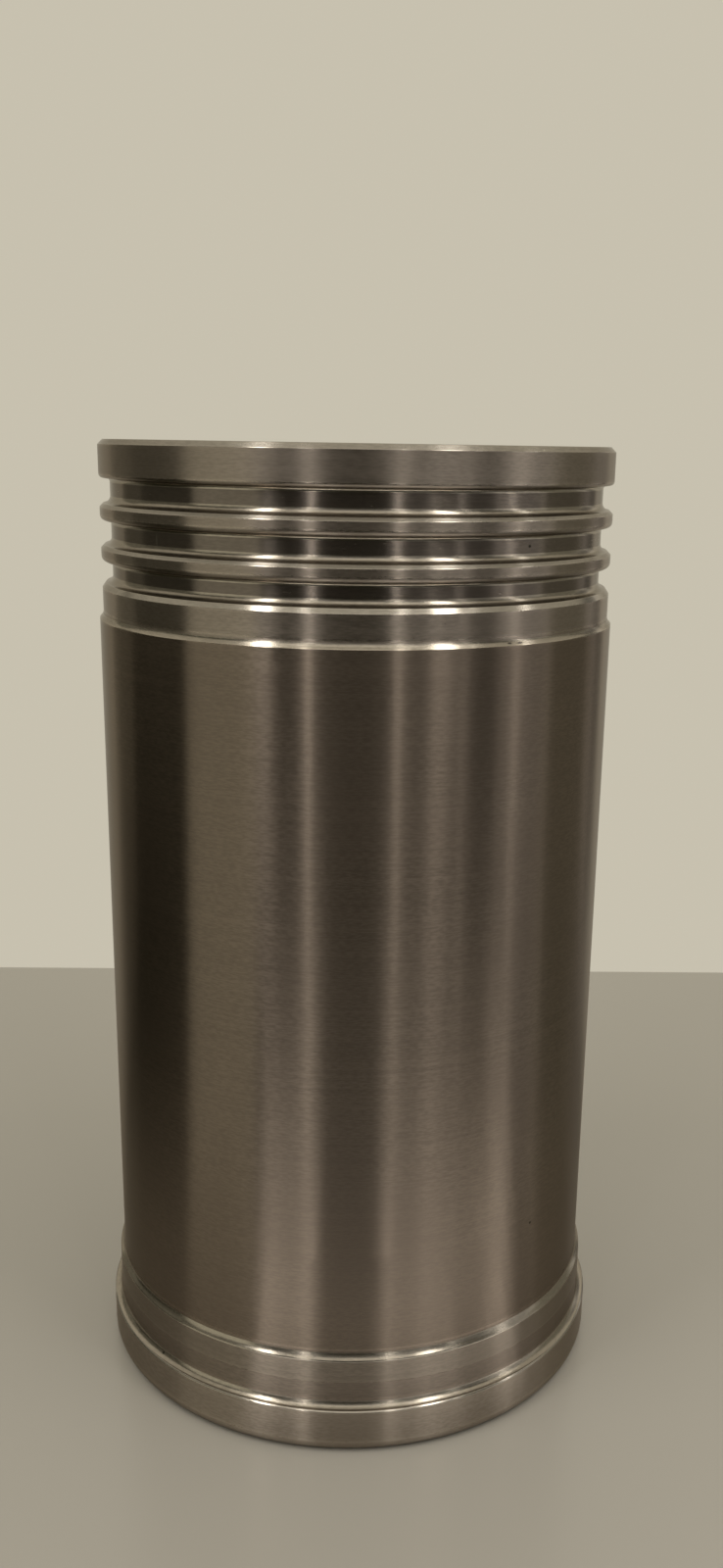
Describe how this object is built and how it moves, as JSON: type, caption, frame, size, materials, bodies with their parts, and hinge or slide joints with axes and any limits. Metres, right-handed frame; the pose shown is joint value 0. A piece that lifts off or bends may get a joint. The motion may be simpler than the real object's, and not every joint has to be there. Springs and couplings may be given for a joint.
{
  "type": "cylinder liner",
  "caption": "Wet cylinder liner: a bored iron sleeve with a hanging flange and locating band at one end and grooves for seal rings round the other.",
  "frame": {"origin": "centre of the flange end face, on the bore axis, where the liner stands", "axes": "+Z along the bore axis, from the flange end to the seal end"},
  "size_m": [0.16, 0.16, 0.2872],
  "materials": {
    "turned_iron": "fine turned, satin sheen"
  },
  "bodies": {
    "root": {"cylinder_liner": "turned_iron"}
  },
  "joints": []
}
